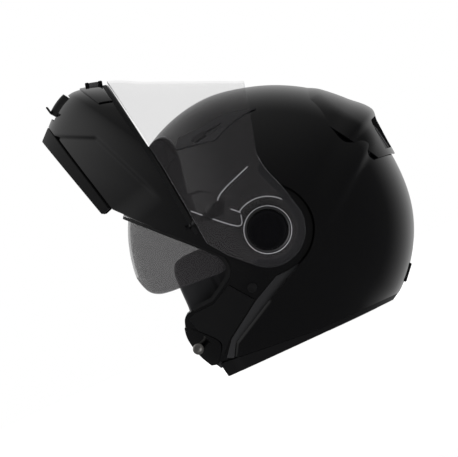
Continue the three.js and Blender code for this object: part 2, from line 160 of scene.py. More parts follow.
class Skin:
    """A swelled surface over the side view. A place on it is a pair of degrees from the pivot."""

    def __init__(self, table, half_width, out=0.0, turn=0.0, relief=None):
        self.radius = radius_curve(table)
        self.half_width = half_width
        self.out = out
        self.turn = math.radians(turn)
        self.relief = relief

    def share(self, x, z):
        return math.hypot(x, z) / self.radius(math.degrees(math.atan2(z, -x)))

    def place(self, x, z):
        share = min(1.0, self.share(x, z)) ** (SQUARENESS / 2)
        lean, angle = math.degrees(math.asin(share)), math.atan2(z, -x)
        return Vector((lean * math.cos(angle), lean * math.sin(angle)))

    def point(self, place, side=-1):
        lean, angle = min(90.0, place.length), math.atan2(place.y, place.x)
        across, along = math.sin(math.radians(lean)), max(0.0, math.cos(math.radians(lean)))
        plain = self.radius(math.degrees(angle)) * across ** (2 / SQUARENESS)
        out = self.out
        if self.relief:
            out += self.relief(-math.cos(angle) * plain, math.sin(angle) * plain)
        reach = plain + out * across ** (2 / SQUARENESS)
        angle += self.turn
        y = 0.0 if lean > 89.97 else (self.half_width + out) * along ** (2 / SQUARENESS)
        return PIVOT + MM * Vector((-math.cos(angle) * reach, side * y, math.sin(angle) * reach))

    def spread(self, places, count):
        """The same path in count equal steps along the surface."""
        spots = [self.point(p) for p in places]
        run = [0.0]
        for a, b in zip(spots, spots[1:]):
            run.append(run[-1] + (b - a).length)
        found, i = [], 0
        for k in range(count + 1):
            goal = run[-1] * k / count
            while i < len(run) - 2 and run[i + 1] < goal:
                i += 1
            share = (goal - run[i]) / max(1e-12, run[i + 1] - run[i])
            found.append(places[i].lerp(places[i + 1], min(1.0, share)))
        return found

    def trace(self, points, count):
        """A side-view line laid on the surface, cut off at the middle of the helmet."""
        places = []
        for (x0, z0), (x1, z1) in zip(points, points[1:]):
            low, high = 0.0, 1.0
            crossing = self.share(x1, z1) >= 1
            for _ in range(CROSSING_STEPS if crossing else 0):
                middle = (low + high) / 2
                if self.share(x0 + (x1 - x0) * middle, z0 + (z1 - z0) * middle) < 1:
                    low = middle
                else:
                    high = middle
            for k in range(RUN_STEPS):
                t = k / RUN_STEPS
                t = high * (1 - (1 - t) ** 4) if crossing else t
                places.append(self.place(x0 + (x1 - x0) * t, z0 + (z1 - z0) * t))
            last = (x0 + (x1 - x0) * high, z0 + (z1 - z0) * high)
            if crossing:
                places.append(self.place(*last).normalized() * POLE)
                break
        else:
            places.append(self.place(*last))
        return self.spread(places, count)

    def middle(self, start, end, count):
        """Along the middle of the helmet, between two side angles."""
        shares = [k / MIDDLE_STEPS for k in range(MIDDLE_STEPS + 1)]
        angles = [math.radians(start + (end - start) * share) for share in shares]
        return self.spread(
            [Vector((POLE * math.cos(a), POLE * math.sin(a))) for a in angles], count,
        )


def side_angle(place):
    return math.degrees(math.atan2(place.y, place.x)) % 360


def patch(skin, first, second, rows):
    """A grid stretched on a skin between two paths of as many steps each."""
    bm = bmesh.new()
    columns = len(first) - 1
    bmesh.ops.create_grid(bm, x_segments=columns, y_segments=rows, size=1)
    for v in bm.verts:
        i, t = round((v.co.x + 1) / 2 * columns), (v.co.y + 1) / 2
        a, b = first[i], second[i]
        place = a.lerp(b, t)
        hold = (min(a.length, b.length) / POLE) ** 8
        wanted = a.length * (1 - t) + b.length * t
        v.co = skin.point(place * (1 + hold * (wanted / max(1e-9, place.length) - 1)))
    return bm


def plate(skin, outline, step):
    """A sheet cut to a side-view outline, divided into squares and pressed on to a skin."""
    bm = bmesh.new()
    bm.faces.new([bm.verts.new((x, 0, z)) for x, z in outline])
    for axis in (0, 2):
        low = min(v.co[axis] for v in bm.verts)
        high = max(v.co[axis] for v in bm.verts)
        for k in range(1, math.ceil((high - low) / step)):
            spot, normal = Vector(), Vector()
            spot[axis], normal[axis] = low + k * step, 1
            bmesh.ops.bisect_plane(
                bm, geom=bm.verts[:] + bm.edges[:] + bm.faces[:], dist=1e-5,
                plane_co=spot, plane_no=normal,
            )
    for v in bm.verts:
        v.co = skin.point(skin.place(v.co.x, v.co.z))
    return bm


def opened(bm, outline, half_width=1000.0, turn=0.0, mullion=0.0):
    """Cuts a hole inside a convex side-view outline, leaving a bar in the middle if asked."""
    swing = Matrix.Rotation(math.radians(turn), 4, "Y")
    corners = [PIVOT + MM * (swing @ Vector((x, 0, z))) for x, z in outline]
    middle = sum(corners, Vector()) / len(corners)
    walls = []
    for a, b in zip(corners, corners[1:] + corners[:1]):
        normal = Vector((b.z - a.z, 0, a.x - b.x)).normalized()
        walls.append((a, normal if normal.dot(middle - a) < 0 else -normal))
    for side in (-1, 1):
        walls.append((Vector((0, side * half_width * MM, 0)), Vector((0, side, 0))))
    for spot, normal in walls:
        bmesh.ops.bisect_plane(
            bm, geom=bm.verts[:] + bm.edges[:] + bm.faces[:], dist=1e-6,
            plane_co=spot, plane_no=normal,
        )
    for side in (-1, 1) if mullion else ():
        bmesh.ops.bisect_plane(
            bm, geom=bm.verts[:] + bm.edges[:] + bm.faces[:], dist=1e-6,
            plane_co=(0, side * mullion * MM, 0), plane_no=(0, side, 0),
        )
    gone = [
        f for f in bm.faces
        if all(normal.dot(f.calc_center_median() - spot) < 0 for spot, normal in walls)
        and abs(f.calc_center_median().y) > mullion * MM
    ]
    bmesh.ops.delete(bm, geom=gone, context="FACES")
    return bm


def mirrored(bm):
    """The mesh and its mirror image together in one mesh, not yet joined in the middle."""
    both = bmesh.ops.duplicate(bm, geom=bm.verts[:] + bm.edges[:] + bm.faces[:])["geom"]
    verts = [v for v in both if isinstance(v, bmesh.types.BMVert)]
    bmesh.ops.scale(bm, vec=(1, -1, 1), verts=verts)
    return bm


def outward(bm, middle=SHELL_MIDDLE):
    """Doubles merged and faces turned away from a middle."""
    bmesh.ops.remove_doubles(bm, verts=bm.verts, dist=MERGE)
    bmesh.ops.dissolve_degenerate(bm, edges=bm.edges, dist=SLIVER)
    bmesh.ops.recalc_face_normals(bm, faces=bm.faces)
    bm.normal_update()
    if sum(f.normal.dot(f.calc_center_median() - middle) * f.calc_area() for f in bm.faces) < 0:
        bmesh.ops.reverse_faces(bm, faces=bm.faces)
    return bm


def body_of(node):
    return frame["nodes"][node]["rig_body"]


def piece(name, bm, material, nodes, wall=0.0, rounding=0.0, like=None, rim=None):
    """A finished object from a mesh: walls and rounded edges, riding where its CAD nodes ride."""
    mesh = bpy.data.meshes.new(name)
    bm.to_mesh(mesh)
    bm.free()
    mesh.shade_smooth()
    made = bpy.data.objects.new(name, mesh)
    bpy.context.scene.collection.objects.link(made)
    mesh.materials.append(material)
    if wall:
        solid = made.modifiers.new("Wall", "SOLIDIFY")
        solid.thickness, solid.offset = wall * MM, -1
        if rim:
            mesh.materials.append(rim)
            solid.material_offset_rim = 1
    if rounding:
        bevel = made.modifiers.new("Rounding", "BEVEL")
        bevel.width, bevel.segments = rounding * MM, ROUNDING_STEPS
        bevel.limit_method, bevel.angle_limit = "ANGLE", ROUNDING_ANGLE
        bevel.harden_normals = True
    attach(made, body_of(like or nodes[0]))
    if nodes:
        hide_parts(*nodes)
    return made


class Value:
    """A shader socket that can be added, multiplied and raised to a power like a number."""

    def __init__(self, tree, socket):
        self.tree, self.socket = tree, socket

    def maths(self, operation, first, second=0.0):
        return self.tree.node("ShaderNodeMath", {"operation": operation}, {0: first, 1: second})

    def __add__(self, other): return self.maths("ADD", self, other)
    def __radd__(self, other): return self.maths("ADD", other, self)
    def __sub__(self, other): return self.maths("SUBTRACT", self, other)
    def __rsub__(self, other): return self.maths("SUBTRACT", other, self)
    def __mul__(self, other): return self.maths("MULTIPLY", self, other)
    def __rmul__(self, other): return self.maths("MULTIPLY", other, self)
    def __pow__(self, other): return self.maths("POWER", self, other)


class Finish:
    """A material's node tree around one Principled shader."""

    def __init__(self, name, **sockets):
        self.material = bpy.data.materials.new(name)
        self.material.use_nodes = True
        self.tree = self.material.node_tree
        self.shader = self.tree.nodes["Principled BSDF"]
        for socket, value in sockets.items():
            self.put(self.shader.inputs[socket.replace("_", " ")], value)

    def put(self, socket, value):
        if isinstance(value, Value):
            self.tree.links.new(value.socket, socket)
        elif isinstance(value, tuple) and len(value) == 3 and socket.type == "RGBA":
            socket.default_value = (*value, 1)
        else:
            socket.default_value = value

    def node(self, kind, settings=None, inputs=None, output=0):
        made = self.tree.nodes.new(kind)
        for key, value in (settings or {}).items():
            setattr(made, key, value)
        for key, value in (inputs or {}).items():
            self.put(made.inputs[key], value)
        return Value(self, made.outputs[output])

    def where(self, name="Object"):
        return self.node("ShaderNodeTexCoord", output=name)

    def noise(self, scale, detail=3.0, where=None):
        return self.node("ShaderNodeTexNoise", None, {
            "Vector": where or self.where(), "Scale": scale, "Detail": detail,
        }, "Fac")

    def blend(self, factor, first, second):
        return self.node("ShaderNodeMix", {"data_type": "RGBA"}, {
            0: factor, 6: first, 7: second,
        }, 2)

    def bump(self, height, strength=0.3, distance=0.0005):
        made = self.node("ShaderNodeBump", None, {
            "Height": height, "Strength": strength, "Distance": distance,
        }, "Normal")
        self.put(self.shader.inputs["Normal"], made)

    def maths_max(self, first, second):
        return self.node("ShaderNodeMath", {"operation": "MAXIMUM"}, {0: first, 1: second})

    def set(self, socket, value):
        self.put(self.shader.inputs[socket], value)


gloss = Finish(
    "gloss_black", Base_Color=(0.0014, 0.0014, 0.0018), Roughness=0.12,
    Coat_Weight=1.0, Coat_Roughness=0.02, Coat_IOR=1.5, IOR=1.45,
)
orange_peel = gloss.noise(260.0, 2.0)
gloss.set("Roughness", 0.1 + gloss.noise(35.0, 4.0) * 0.06)
gloss.bump(orange_peel, 0.035, 0.0004)

DOME_COLUMNS = [24, 186, 70]
DOME_ROWS = 70
HUB_BAND = 45.0
BAND_TOP = [(-96.8, 46), (-92, 46), (-80, 58), (-72, 66), (-44, 62)]
BAND_FRONT = [(-27, -62.2), (-72.5, -85.9), (-79.8, -98.7)]


def rear_crease(x, z):
    """A raised fold runs down from the rear vent towards the pivot and fades out."""
    ax, az, bx, bz, height = 125.9, 37.3, 36.0, -29.0, 3.0
    length = math.hypot(bx - ax, bz - az)
    along = ((x - ax) * (bx - ax) + (z - az) * (bz - az)) / length
    off = ((x - ax) * (bz - az) - (z - az) * (bx - ax)) / length
    fade = smooth_step(-22, 8, along) * (1 - smooth_step(70, length + 6, along))
    side = smooth_step(-9, 0.5, off) * (1 - smooth_step(0.5, 30, off))
    return height * fade * side


def band_bevel(x, z):
    """Below the hub the dome's front edge is chamfered."""
    width, depth = 2.4, 1.6
    return -depth * (1 - min(width, off_line(x, z, BAND_FRONT)) / width)


dome_skin = Skin(
    SHELL_RADII, SHELL_HALF_WIDTH, relief=lambda x, z: rear_crease(x, z) + band_bevel(x, z),
)
brow = dome_skin.trace([BAND_TOP[0], *BROW_EDGE], DOME_COLUMNS[0])
seam = dome_skin.trace([BAND_FRONT[-1], *WEDGE_SEAM], DOME_COLUMNS[2])
crown = dome_skin.middle(side_angle(brow[-1]), side_angle(seam[-1]), DOME_COLUMNS[1])
dome_edge = brow[:-1] + crown[:-1] + seam[::-1]
band_runs = [
    BAND_TOP[:3],
    [*BAND_TOP[2:], *arc(HUB_BAND, 72, 205)],
    [*arc(HUB_BAND, 205, 238), *BAND_FRONT],
]
band = []
for count, run in zip(DOME_COLUMNS, band_runs):
    band = band[:-1] + dome_skin.trace(run, count)
shell = mirrored(patch(dome_skin, dome_edge, band, DOME_ROWS))
piece(
    "outer_shell_dome", outward(shell), gloss.material, ["outer_shell"],
    wall=SHELL_WALL, rounding=EDGE_ROUNDING,
)

PORT_CORNER = rounded([(-63.2, 11.3), (-50, -5), (-49, -19.5), (-58.4, -29.2), (-76.7, -39.5)])
CHEEK_TOP = [(-97, -40.3), (-104.6, -41)]
CHEEK_FRONT = rounded([
    (-104.6, -41), (-109.6, -47), (-113, -63), (-108.6, -83.7), (-97, -106), (-92.5, -116),
])
cheek_edge = [p for p in CHEEK_FRONT if p[1] > -97.8]
RECESS_OUTLINE = [
    (-99.5, 48.8), *PORT_CORNER, CHEEK_TOP[0], *cheek_edge, (-75.6, -98.9),
    (-69.3, -89), (-26, -66), *arc(HUB_BAND + 3.5, 238, 72), (-42.5, 65.5), (-71, 69.7), (-91, 49.5),
]
recess_skin = Skin(SHELL_RADII, SHELL_HALF_WIDTH - RECESS_DEPTH, -0.6)
recess = mirrored(plate(recess_skin, RECESS_OUTLINE, 2.6))
piece(
    "outer_shell_recess", outward(recess), gloss.material, [], like="outer_shell",
    wall=SHELL_WALL, rounding=EDGE_ROUNDING,
)

# ---------- rim trim ----------
# A satin strip of soft plastic closes the lower edge of the shell. It is clipped over the shell and
# the foam, and steps inwards under each cheek.


def grained(finish, scale, low, spread, strength, depth=0.0001, detail=2.0):
    """A fine moulded grain in a finish's roughness and bump."""
    grain = finish.noise(scale, detail)
    finish.set("Roughness", low + grain * spread)
    finish.bump(grain, strength, depth)
    return finish


satin = grained(
    Finish("satin_black", Base_Color=(0.0045, 0.0045, 0.005), IOR=1.45),
    2600.0, 0.38, 0.14, 0.16, 0.00012,
)

trim_skin = Skin(SHELL_RADII, SHELL_HALF_WIDTH, -0.3)
upper = trim_skin.trace([(-95.6, -98.2), (-90, -98.4), *WEDGE_SEAM], 120)
lower = trim_skin.trace([(-93.4, -112.9), (160, -112.9)], 120)
strip = patch(trim_skin, upper, lower, 6)
for v in strip.verts:
    v.co.y += RECESS_DEPTH * MM * (1 - smooth_step(-84, -72, (v.co.x - PIVOT.x) / MM))
piece(
    "rim_trim_strip", outward(mirrored(strip)), satin.material,
    ["rim_trim"], wall=5.0, rounding=1.2,
)

# ---------- side covers and cheek bands ----------
# Each cheek carries a satin moulded cover, screwed over the recess of the shell. A grey band of the
# same plastic lies between the cover and the dome's edge.

LATCH_SEAM = rounded([
    (-120, -49), (-109.9, -52.6), (-95.5, -65.5), (-85.7, -80.3), (-95.5, -96.1), (-96, -99),
])
panel_seam = [p for p in LATCH_SEAM if -101 < p[0] and p[1] > -90.5]
SIDE_PANEL = [
    (-104, -46), (-97, -43.8), (-76.7, -43), (-56, -32.5), (-39.5, -55.2), (-75.5, -78.6),
    (-88.4, -91.4), *[(x + 0.5, z) for x, z in panel_seam[::-1]],
]
panel_skin = Skin(SHELL_RADII, SHELL_HALF_WIDTH - RECESS_DEPTH, 1.0)
PLATE_STEP = 2.2
HANDS = ((-1, "left"), (1, "right"))


def sided(bm, side):
    """A left-hand mesh, or its mirror image for the right-hand side."""
    bmesh.ops.scale(bm, vec=(1, -side, 1), verts=bm.verts)
    return bm


for side, hand in HANDS:
    cover = sided(plate(panel_skin, SIDE_PANEL, PLATE_STEP), side)
    piece(
        f"side_cover_{hand}", outward(cover), satin.material,
        [f"side_panel_{hand}"], wall=1.8, rounding=0.6,
    )

BAND_STRIP = [
    (16, -41.2), (-3, -50.2), (-26.6, -61.4), (-72.6, -85.1), (-80.3, -97.6), (-86.6, -94.6),
    (-74.8, -80.2), (-38.6, -56.6), (-11.3, -43.6), (2, -43.2),
]
strip_grey = grained(
    Finish("strip_grey", Base_Color=(0.026, 0.026, 0.028)), 2400.0, 0.3, 0.12, 0.1,
)
fitting_skin = Skin(SHELL_RADII, SHELL_HALF_WIDTH - RECESS_DEPTH, 0.9)
band_strip = mirrored(plate(fitting_skin, BAND_STRIP, PLATE_STEP))
piece(
    "cheek_band", outward(band_strip), strip_grey.material, [], like="outer_shell",
    wall=1.4, rounding=0.5,
)

# ---------- chin bar ----------
# The chin bar is drawn shut and swung up, so it stands open over the crown. Its painted shell wraps
# round the front and ends in a hub on each pivot axle. A satin strip is bonded to its lower rim.

RAISED = 75.0
CHIN_HALF_WIDTH = 124.0
CHIN_RADII = [
    (0, 192), (90, 190), (180, 190), (270, 190), (295, 195), (315, 214), (326, 231), (333, 233),
    (344, 231.5), (352, 207.5),
]
VISOR_LOWER = [(-54.5, -48.1), (-107.5, -39.1), (-201, -27.9), (-260, -23)]
TRIM_SEAM = [(-111.0, -102.9), (-150, -101.5), (-210, -99), (-260, -99)]
HUB = 40.5


def chin_crease(x, z):
    """The lower front lies back behind a crease that runs along the bar."""
    knee_x, knee_z, depth, half_width = -173.7, -70.5, 2.4, 2.6
    slope = 8.6 / 72.2 if x > knee_x else 26.0 / 23.3
    line = knee_z + (x - knee_x) * slope
    fade = 1 - smooth_step(-112, -84, x)
    return -depth * fade * (1 - smooth_step(-half_width, half_width, z - line))


chin_skin = Skin(CHIN_RADII, CHIN_HALF_WIDTH, turn=RAISED, relief=chin_crease)
HEEL, FRONT = (-27.7, -60), (-111.0, -102.9)
UPPER_EDGE = [(x, z - 1.4) for x, z in VISOR_LOWER]
under, over = [], []
for count, lower_run, upper_run in (
    (44, [*arc(HUB, 210, 242.7), HEEL], arc(HUB, 210, 70)),
    (16, [HEEL, (-60, -76.6)], arc(HUB, 70, -33)),
    (12, [(-60, -76.6), (-85, -89.5)], [spot(HUB, -33), UPPER_EDGE[0]]),
    (18, [(-85, -89.5), FRONT], [UPPER_EDGE[0], (-85, -44.3)]),
    (110, TRIM_SEAM, [(-85, -44.3), *UPPER_EDGE[1:]]),
):
    under = under[:-1] + chin_skin.trace(lower_run, count)
    over = over[:-1] + chin_skin.trace(upper_run, count)
RAISED_MIDDLE = Vector((0, 0, 0.2))
VENT_HOLE = [(-246, -91.5), (-206, -91.5), (-206, -65), (-246, -65)]
VENT_HALF_WIDTH, BAR_ROWS = 27, 56
bar = mirrored(patch(chin_skin, under, over, BAR_ROWS))
opened(bar, VENT_HOLE, VENT_HALF_WIDTH, RAISED)
piece(
    "chin_bar_cover", outward(bar, RAISED_MIDDLE), gloss.material,
    ["chin_bar_shell"], wall=2.7, rounding=0.8,
)
strip_skin = Skin(CHIN_RADII, CHIN_HALF_WIDTH, 0.4, turn=RAISED)
STRIP_UPPER = [(-113, -103.6), (-150, -102.1), (-210, -99.6), (-260, -99.6)]
STRIP_LOWER = [(-112.7, -112.9), (-260, -112.9)]
chin_strip = mirrored(patch(
    strip_skin, strip_skin.trace(STRIP_UPPER, 110), strip_skin.trace(STRIP_LOWER, 110), 8,
))
piece(
    "chin_bar_strip", outward(chin_strip, RAISED_MIDDLE), satin.material,
    ["chin_bar_trim"], wall=6.0, rounding=1.0,
)

# ---------- face visor ----------
# The shield is clear polycarbonate, hinged on the chin bar's pivots, and stands open with the bar.
# A darker frosted band follows its ears, and its cut edge is drawn pale and faintly glowing as a
# painted highlight.

VISOR_RADII = [
    (0, 185.8), (10, 164.8), (20, 152.4), (30.5, 145.6), (45, 149), (60, 160), (90, 182),
    (180, 190), (270, 195), (315, 215), (340, 225), (351, 215),
]
clear = Finish("clear_shield", Roughness=0.03, IOR=1.58)
rear_band = clear.node("ShaderNodeAttribute", {"attribute_name": "rear_band"}, output="Fac")
clear.set("Base Color", clear.blend(rear_band, (0.26, 0.25, 0.26), (0.07, 0.07, 0.075)))
clear.set("Alpha", 0.07 + rear_band * 0.14)
# Painted highlight: a pale, faintly glowing finish stands in for light caught on the visor's cut
# edge, the ratchet ribs and the pivot ring's wire.
painted_edge_glow = Finish(
    "clear_edge_painted_highlight", Base_Color=(0.62, 0.61, 0.64), Roughness=0.12, IOR=1.58, Alpha=0.75,
    Emission_Color=(0.8, 0.8, 0.84), Emission_Strength=0.05,
)
VISOR_HALF_WIDTH, EAR_RADIUS, VISOR_COLUMNS, VISOR_ROWS = 129.0, 36, 180, 64
visor_skin = Skin(VISOR_RADII, VISOR_HALF_WIDTH, turn=RAISED)
EAR_FRONT = [(-22, 37), (-47, 35.5)]
low_edge = visor_skin.trace(
    [*arc(EAR_RADIUS, 150, 232), (-3.6, -44), (-27.4, -53), *VISOR_LOWER], VISOR_COLUMNS,
)
high_edge = visor_skin.trace(
    [*arc(EAR_RADIUS, 150, 96), *EAR_FRONT, (-62, 37.8), (-260, 153)], VISOR_COLUMNS,
)
shield = patch(visor_skin, low_edge, high_edge, VISOR_ROWS)
BAND_WIDTH, BAND_FADE = 8.0, 0.8
EAR_LINE = [*arc(EAR_RADIUS, 232, 96), *EAR_FRONT]
rear_layer = shield.verts.layers.float.new("rear_band")
ear = [visor_skin.point(visor_skin.place(x, z)) for x, z in EAR_LINE]
for v in shield.verts:
    gaps = []
    for a, b in zip(ear, ear[1:]):
        along = (v.co - a).dot(b - a) / (b - a).length_squared
        gaps.append((v.co - a - (b - a) * min(1, max(0, along))).length / MM)
    v[rear_layer] = 1 - smooth_step(BAND_WIDTH - BAND_FADE, BAND_WIDTH + BAND_FADE, min(gaps))
# The visor's cut rim takes the glowing edge finish as a painted highlight.
piece(
    "clear_visor", outward(mirrored(shield), RAISED_MIDDLE), clear.material,
    ["face_visor"], wall=2.1, rounding=0.5, rim=painted_edge_glow.material,
)

# ---------- sun visor ----------
# The inner lens is smoke-tinted polycarbonate. It hangs inside the brow on two lugs and has a rounded
# cut-out for the nose.

smoke = Finish(
    "smoke_shield", Base_Color=(0.05, 0.047, 0.05), Roughness=0.04, Alpha=0.46, IOR=1.55,
)
lens_skin = Skin([(0, 134.6), (120, 134.6), (240, 134.6)], 114.5)
lens_low = lens_skin.trace([
    *arc(14, 180, 320), (-20, -12), (-57, -19),
    *rounded([(-108, -15.2), (-119.5, -13), (-128, -7.2), (-132.4, 2.5), (-134.9, 15)]),
], 120)
lens_high = lens_skin.trace([*arc(14, 180, 130), (-30, 22), (-128.6, 153.2)], 120)
piece(
    "sun_lens", outward(mirrored(patch(lens_skin, lens_low, lens_high, 50))),
    smoke.material, ["sun_visor_lens"], wall=2.2, rounding=0.5,
)

# ---------- beads and seals ----------
# Thin rubber and plastic beads: one round the eyeport's rear corner, a seal along the top of the chin
# bar for the visor to close on, and the ribs of the visor's ratchet on the chin bar's hub, whose
# pale, faintly glowing finish is a painted highlight.

rubber = grained(
    Finish("rubber", Base_Color=(0.006, 0.006, 0.0065)), 1800.0, 0.5, 0.2, 0.2, detail=3.0,
)


def wire(spots, radius):
    """A round wire through points in the frame, as a bmesh."""
    curve = bpy.data.curves.new("wire", "CURVE")
    curve.dimensions, curve.bevel_depth, curve.bevel_resolution = "3D", radius * MM, 2
    curve.use_fill_caps = True
    spline = curve.splines.new("POLY")
    spline.points.add(len(spots) - 1)
    for point, spot in zip(spline.points, spots):
        point.co = (*spot, 1)
    holder = bpy.data.objects.new("wire", curve)
    bpy.context.scene.collection.objects.link(holder)
    graph = bpy.context.evaluated_depsgraph_get()
    mesh = bpy.data.meshes.new_from_object(holder.evaluated_get(graph))
    bpy.data.objects.remove(holder)
    bm = bmesh.new()
    bm.from_mesh(mesh)
    bmesh.ops.remove_doubles(bm, verts=bm.verts, dist=0.00001)
    bmesh.ops.recalc_face_normals(bm, faces=bm.faces)
    return bm


def tube(skin, line, radius, side=-1, steps=40):
    """A round bead along a side-view line laid on a skin."""
    return wire([skin.point(p, side) for p in skin.trace(line, steps)], radius)


def merged(*parts):
    """Several bmeshes as one."""
    whole = bmesh.new()
    for part in parts:
        mesh = bpy.data.meshes.new("part")
        part.to_mesh(mesh)
        part.free()
        whole.from_mesh(mesh)
        bpy.data.meshes.remove(mesh)
    return whole


port_line = [(-63.2, 11.3), *PORT_CORNER, (-84, -39.9), (-97, -40.3)]
piece(
    "eyeport_bead", merged(*[tube(recess_skin, port_line, 1.1, side, 60) for side in (-1, 1)]),
    rubber.material, [], like="outer_shell",
)
seal_skin = Skin(CHIN_RADII, CHIN_HALF_WIDTH, 0.9, turn=RAISED)
seal_line = [(x, z - 2.2) for x, z in [(-40, -50.5), *VISOR_LOWER]]
seal_foot = [(x, z - 6.0) for x, z in [(-40, -50.5), *VISOR_LOWER]]
seal = patch(seal_skin, seal_skin.trace(seal_foot, 110), seal_skin.trace(seal_line, 110), 5)
piece(
    "visor_seal", outward(mirrored(seal), RAISED_MIDDLE), rubber.material, [],
    like="chin_bar_shell", wall=1.4, rounding=0.45,
)
RATCHET_LINES = [
    [(7.9, 64.0), (-31.7, 47.2), (-17.7, 26.9), *arc(32.5, 57, 140)],
    [(-60.2, 47.6), (-25.2, 15.4), (-17.5, 24.0)],
]
ratchet_skin = Skin(VISOR_RADII, VISOR_HALF_WIDTH, -2.7, RAISED)


def shut(points):
    """Side-view points of the raised chin bar, swung back to where they are drawn."""
    c, n = math.cos(math.radians(RAISED)), math.sin(math.radians(RAISED))
    return [(x * c - z * n, x * n + z * c) for x, z in points]


ribs = [
    tube(ratchet_skin, shut(rounded(line, 5)), 0.55, side, 60)
    for line in RATCHET_LINES for side in (-1, 1)
]
# The ribs take the glowing edge finish: painted highlight lines.
piece("ratchet_ribs_painted_highlight", merged(*ribs), painted_edge_glow.material, [], like="face_visor")

# ---------- pivot covers ----------
# Each pivot is closed by a turned black cap with curved ribs, pressed into a grey ring. A thin wire
# in the pale, faintly glowing edge finish runs round the ring as a painted highlight where the
# visor's ear is cut away.


def turned(profile, side, steps=72):
    """A ring or disc turned about the pivot axis from (radius, half width) points."""
    bm = bmesh.new()
    verts = [bm.verts.new(PIVOT + MM * Vector((r, side * y, 0))) for r, y in profile]
    edges = [bm.edges.new(pair) for pair in zip(verts, verts[1:])]
    bmesh.ops.spin(
        bm, geom=verts + edges, cent=PIVOT, axis=(0, 1, 0), angle=math.tau, steps=steps,
        use_merge=True,
    )
    bmesh.ops.remove_doubles(bm, verts=bm.verts, dist=0.00001)
    bmesh.ops.recalc_face_normals(bm, faces=bm.faces)
    return bm


ring_face = Finish("ring_grey", Base_Color=(0.3, 0.3, 0.31), Metallic=1.0, Roughness=0.26)
ring_face.set("Roughness", 0.2 + ring_face.noise(60.0) * 0.1)
RING_PROFILE = [
    (22.6, 129.9), (22.8, 130.6), (22.6, 131.4), (22.1, 131.9), (21.3, 131.9), (20.9, 131.4),
    (20.2, 131.3), (19.5, 130.9), (19.4, 129.9), (22.6, 129.9),
]
CAP_PROFILE = [
    (0.001, 130.2), (18.4, 130.2), (18.9, 130.7), (18.8, 131.6), (18.2, 132.2), (17.2, 132.3),
    (16.6, 131.9), (15.5, 131.6), (9.0, 131.9), (0.001, 132.0),
]
CAP_RIB_CENTRE, CAP_RIB_RADII, CAP_RIB_REACH = (-52.0, 10.0), (40, 46, 52, 58, 64), 15.2
cap_face = Finish("cap_black", Base_Color=(0.004, 0.004, 0.005), Roughness=0.2, IOR=1.3)
cap_face.set("Roughness", 0.16 + cap_face.noise(90.0) * 0.14)


def cap_ribs(side):
    ribs = []
    for radius in CAP_RIB_RADII:
        spots = []
        for k in range(61):
            a = math.radians(-40 + k * 80 / 60)
            x = CAP_RIB_CENTRE[0] + radius * math.cos(a)
            z = CAP_RIB_CENTRE[1] + radius * math.sin(a)
            if math.hypot(x, z) < CAP_RIB_REACH:
                spots.append(PIVOT + MM * Vector((x, side * 131.9, z)))
        if len(spots) > 3:
            ribs.append(wire(spots, 0.55))
    return ribs


for side, hand in HANDS:
    piece(
        f"pivot_bezel_{hand}", turned(RING_PROFILE, side), ring_face.material,
        [f"pivot_ring_{hand}"],
    )
    piece(
        f"pivot_cover_{hand}", merged(turned(CAP_PROFILE, side), *cap_ribs(side)),
        cap_face.material, [f"pivot_cap_{hand}"],
    )
    # A painted highlight: this wire round the ring glows pale in the edge finish.
    halo = [PIVOT + MM * Vector((22.75 * math.cos(a), side * 131.0, 22.75 * math.sin(a)))
            for a in [math.tau * k / 96 for k in range(97)]]
    piece(
        f"pivot_painted_highlight_{hand}", wire(halo, 0.5), painted_edge_glow.material, [],
        like=f"pivot_ring_{hand}",
    )

# ---------- latch housings, plugs and strikers ----------
# The glossy latch housing is screwed to the shell in front of the cover. The steel striker pin stands
# out of it for the chin bar's hook, and a round plug closes the cover's screw hole.

STRIKER, PLUG = (-108.2, -76.0), (-36.6, -44.3)
steel = Finish("steel", Base_Color=(0.82, 0.8, 0.77), Metallic=1.0, Roughness=0.28)
brushed = steel.noise(900.0, 4.0, steel.node(
    "ShaderNodeMapping", None, {"Vector": steel.where(), "Scale": (1.0, 0.06, 1.0)},
))
steel.set("Roughness", 0.2 + brushed * 0.2)
steel.bump(brushed, 0.08, 0.0001)

seam_front = [(x - 0.6, z) for x, z in LATCH_SEAM if x < -85 and -97.6 < z < -53]
latch_front = [p for p in CHEEK_FRONT if -97.6 < p[1] < -51]
LATCH_PANEL = latch_front + seam_front[::-1]


def stud(at, profile, side, steps=40):
    """A turned stud along the pivot's direction, at a place in the side view."""
    bm = turned(profile, side, steps)
    bmesh.ops.translate(bm, vec=MM * Vector((at[0], 0, at[1])), verts=bm.verts)
    return bm


for side, hand in HANDS:
    housing = sided(plate(fitting_skin, LATCH_PANEL, PLATE_STEP), side)
    piece(
        f"latch_housing_{hand}", outward(housing), gloss.material,
        [f"latch_panel_{hand}"], wall=1.6, rounding=0.7,
    )
    piece(
        f"striker_{hand}",
        stud(STRIKER, [
            (0.001, 62), (4.0, 62), (4.1, 84.6), (5.2, 84.9), (5.5, 85.4), (5.4, 86.4), (4.9, 86.9),
            (2.6, 86.9), (2.3, 86.4), (0.001, 86.4),
        ], side), steel.material, [f"striker_pin_{hand}"],
    )
    plug_low, plug_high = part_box(f"shell_plug_{hand}")
    top = max(abs(plug_low.y), abs(plug_high.y)) / MM
    piece(
        f"screw_plug_{hand}",
        stud(PLUG, [
            (0.001, top - 3.4), (4.7, top - 3.4), (4.8, top - 0.7), (4.4, top - 0.2), (3.6, top),
            (3.3, top - 0.5), (0.001, top - 0.6),
        ], side), rubber.material, [f"shell_plug_{hand}"],
    )

# ---------- top vents ----------
# Two low grey vents are bonded to the crown under the raised visor. Each has a slot with a satin
# slider in it.

